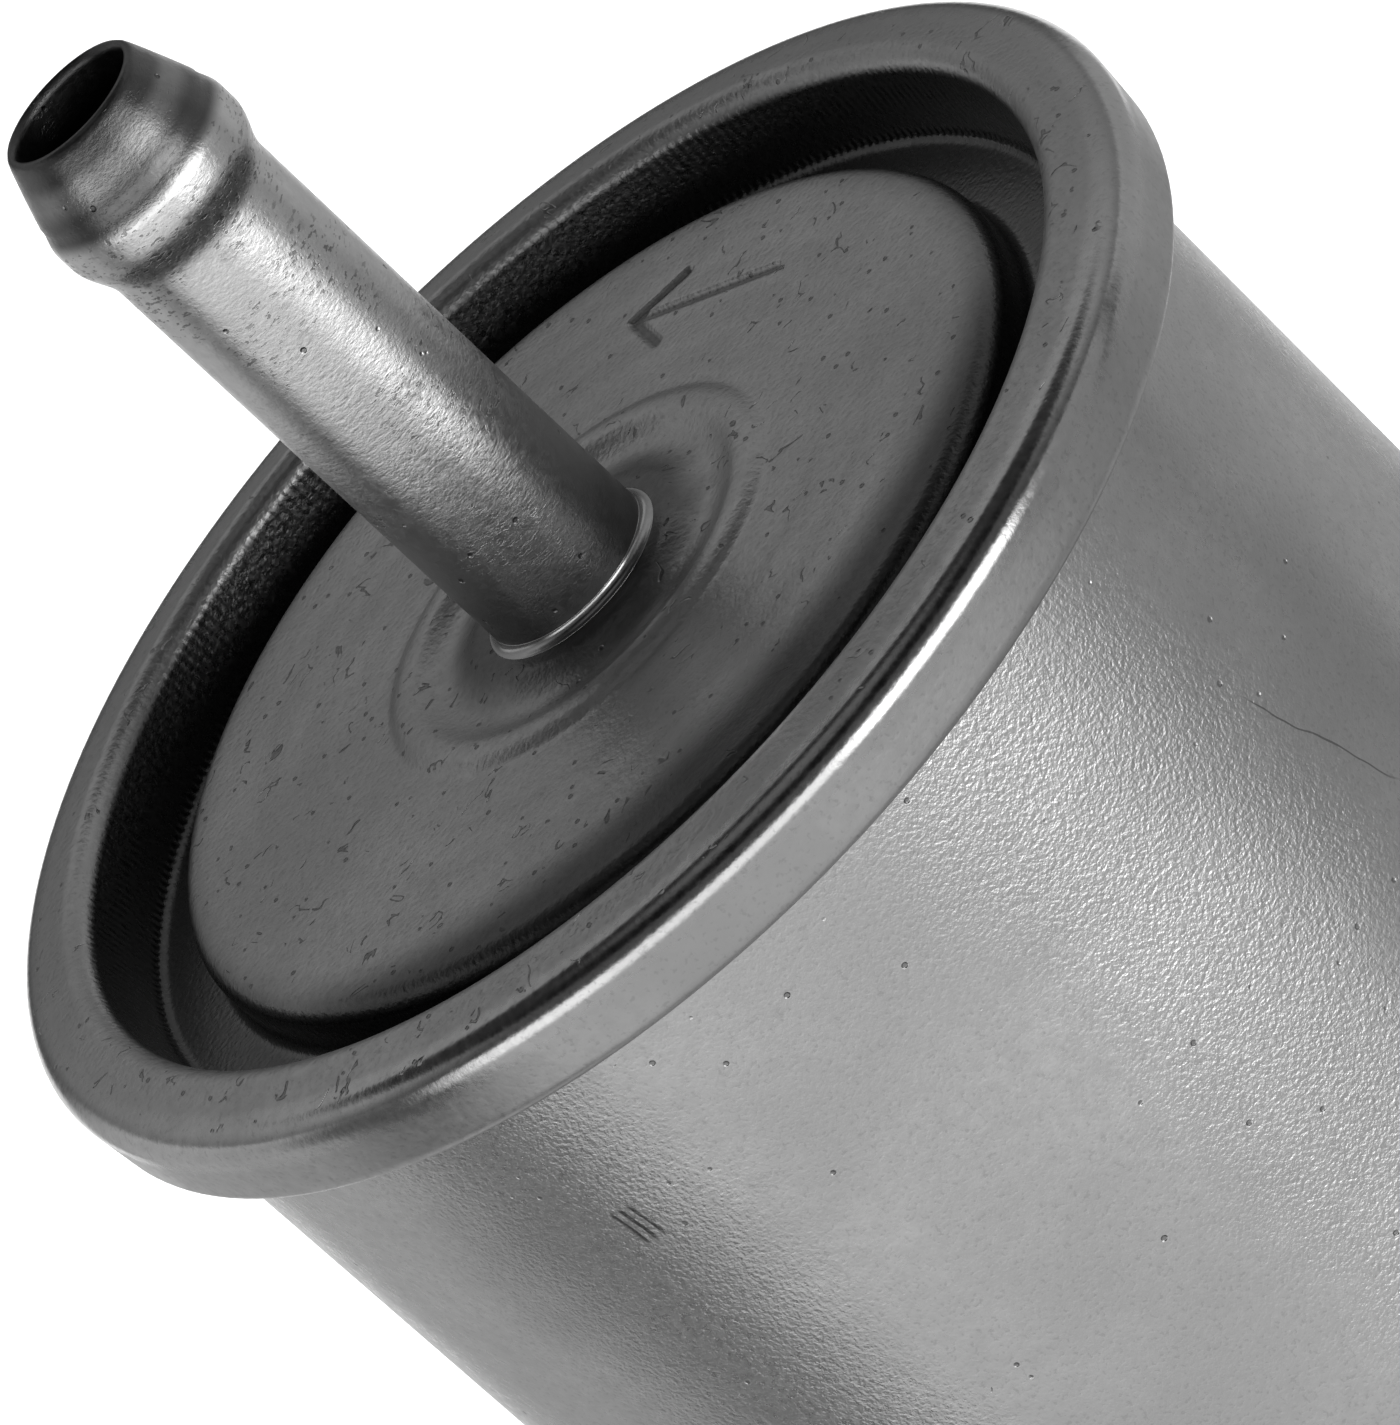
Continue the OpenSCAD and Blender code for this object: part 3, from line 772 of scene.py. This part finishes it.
def can_wear(n, place, colour, roughness, normal):
    """Three short scuffs and one long hair scratch on the barrel."""
    _, angle, z = round_axis(n, place)
    around = n.math("MULTIPLY", angle, BARREL_R * MM)
    wobble = n.math("MULTIPLY", n.math("SUBTRACT", n.noise(place, 260.0, 2.0), 0.5), 1.2 * MM)

    def window(value, middle, half):
        return n.step(n.math("ABSOLUTE", n.math("SUBTRACT", value, middle)), half * 0.7, half, 1.0, 0.0)

    scuff_place = math.radians(-38) * BARREL_R * MM
    scuff_pitch = 0.46
    scuff_z = RIM_Z - 12.6
    slope = n.math("MULTIPLY", n.math("SUBTRACT", z, (scuff_z + 0.1) * MM), 0.12)
    lean = n.math("ADD", slope, n.math("MULTIPLY", wobble, 0.3))
    across = n.math("ADD", n.math("SUBTRACT", around, scuff_place), lean)
    stripes = n.step(n.math("COSINE", n.math("MULTIPLY", across, TAU / (scuff_pitch * MM))), 0.1, 0.6)
    ragged_z = n.math("ADD", z, n.math("MULTIPLY", wobble, 2.0))
    scuffs = n.math("MULTIPLY", n.math("MULTIPLY", stripes, window(across, 0.0, 0.62 * MM)),
                    window(ragged_z, scuff_z * MM, 1.2 * MM))

    hair_place = math.radians(34) * BARREL_R * MM
    hair_z = RIM_Z - 19.5
    slant = n.math("MULTIPLY", n.math("SUBTRACT", z, hair_z * MM), -0.3)
    hair = window(n.math("SUBTRACT", n.math("SUBTRACT", around, slant), wobble), hair_place, 0.05 * MM)
    hair = n.math("MULTIPLY", hair, window(z, hair_z * MM, 4.6 * MM))
    marks = n.math("MAXIMUM", scuffs, n.math("MULTIPLY", hair, 0.7))
    colour = n.mix(n.math("MULTIPLY", marks, 0.8), colour, MARK_COLOUR)
    return colour, roughness, normal


def plain_stuff(name, dark, light, rough, scale, height):
    """A mottled non-metal."""
    material = bpy.data.materials.new(name)
    material.use_nodes = True
    n = Nodes(material.node_tree)
    place = n.add("ShaderNodeTexCoord").outputs["Object"]
    cloud = n.noise(place, scale, 5.0, 0.6)
    colour = n.mix(n.step(cloud, 0.3, 0.7), tuple(dark) + (1,), tuple(light) + (1,))
    roughness = n.step(cloud, 0.2, 0.8, rough * 0.85, min(1.0, rough * 1.15))
    shader = n.add("ShaderNodeBsdfPrincipled", {"Base Color": colour, "Roughness": roughness,
                                                 "Normal": n.bump(cloud, height * MM)})
    n.add("ShaderNodeOutputMaterial", {"Surface": shader.outputs[0]})
    return material


def dress(piece, material):
    piece.data.materials.clear()
    piece.data.materials.append(material)


# ---------------------------------------------------------------- assembly

bpy.context.scene.view_settings.view_transform = "Standard"
add_camera()
add_world()
add_floor()

can_steel = steel("can_steel", (0.59, 0.59, 0.59), rough=0.31, grain=(0.2, 0.2, 0.038), pits=0.05, hairs=0.2,
                  extra=can_wear, skin=can_skin)
cover_steel = steel("cover_steel", (0.515, 0.515, 0.515), rough=0.36, grain=(0.26, 0.26, 0.03), pits=0.24,
                    hairs=0.4, extra=cover_wear_and_shade, where=flat_parts, skin=cover_skin)
nipple_steel = steel("nipple_steel", (0.72, 0.72, 0.72), rough=0.35, pits=0.1, extra=tube_wear_and_shade)
braze_metal = steel("braze_metal", (0.5, 0.5, 0.5), rough=0.22)
tinned_steel = steel("tinned_steel", (0.68, 0.68, 0.69), rough=0.25)
spring_steel = steel("spring_steel", (0.35, 0.35, 0.37), rough=0.35)
sealant = plain_stuff("sealant", (0.12, 0.04, 0.03), (0.2, 0.08, 0.05), 0.7, 800, 0.02)
guide_plastic = plain_stuff("guide_plastic", (0.03, 0.03, 0.03), (0.06, 0.06, 0.06), 0.5, 900, 0.01)
adhesive = plain_stuff("adhesive", (0.45, 0.33, 0.16), (0.6, 0.46, 0.25), 0.45, 300, 0.03)
paper = plain_stuff("filter_paper", (0.6, 0.44, 0.24), (0.78, 0.6, 0.37), 0.85, 1500, 0.03)
seal_rubber = plain_stuff("seal_rubber", (0.015, 0.015, 0.015), (0.035, 0.035, 0.035), 0.6, 700, 0.01)

cover_shell = build_cover()
can_shell = build_can()
outlet_tube = build_nipple("outlet_tube", OUTLET_MOUTH_Z, nipple_low.z / MM)
inlet_tube = build_inlet_nipple()
outlet_fillet = build_fillet("outlet_fillet", PLATE_Z + RING_H, True)
inlet_fillet = build_fillet("inlet_fillet", CAN_BOTTOM_Z, False)
new_pieces = (
    (cover_shell, "outlet_cover", "cover_steel", cover_steel),
    (can_shell, "canister", "can_steel", can_steel),
    (outlet_tube, "outlet_nipple", "nipple_steel", nipple_steel),
    (inlet_tube, "inlet_nipple", "nipple_steel", nipple_steel),
    (outlet_fillet, "outlet_braze_ring", "braze_metal", braze_metal),
    (inlet_fillet, "inlet_braze_ring", "braze_metal", braze_metal),
)
for piece, node, slot, material in new_pieces:
    dress(piece, material)
    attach(piece, "root")
    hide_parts(node)

carried = {
    "seam_sealant": sealant, "inlet_baffle": tinned_steel, "support_spring": spring_steel,
    "spring_seat": tinned_steel, "centring_ring": guide_plastic, "bottom_end_cap": tinned_steel,
    "bottom_adhesive": adhesive, "filter_paper": paper, "pleat_seam_clip": tinned_steel,
    "centre_tube": tinned_steel, "top_adhesive": adhesive, "top_end_cap": tinned_steel,
    "outlet_seal": seal_rubber, "seal_retainer": tinned_steel,
}
for node, material in carried.items():
    dress(frame["nodes"][node], material)
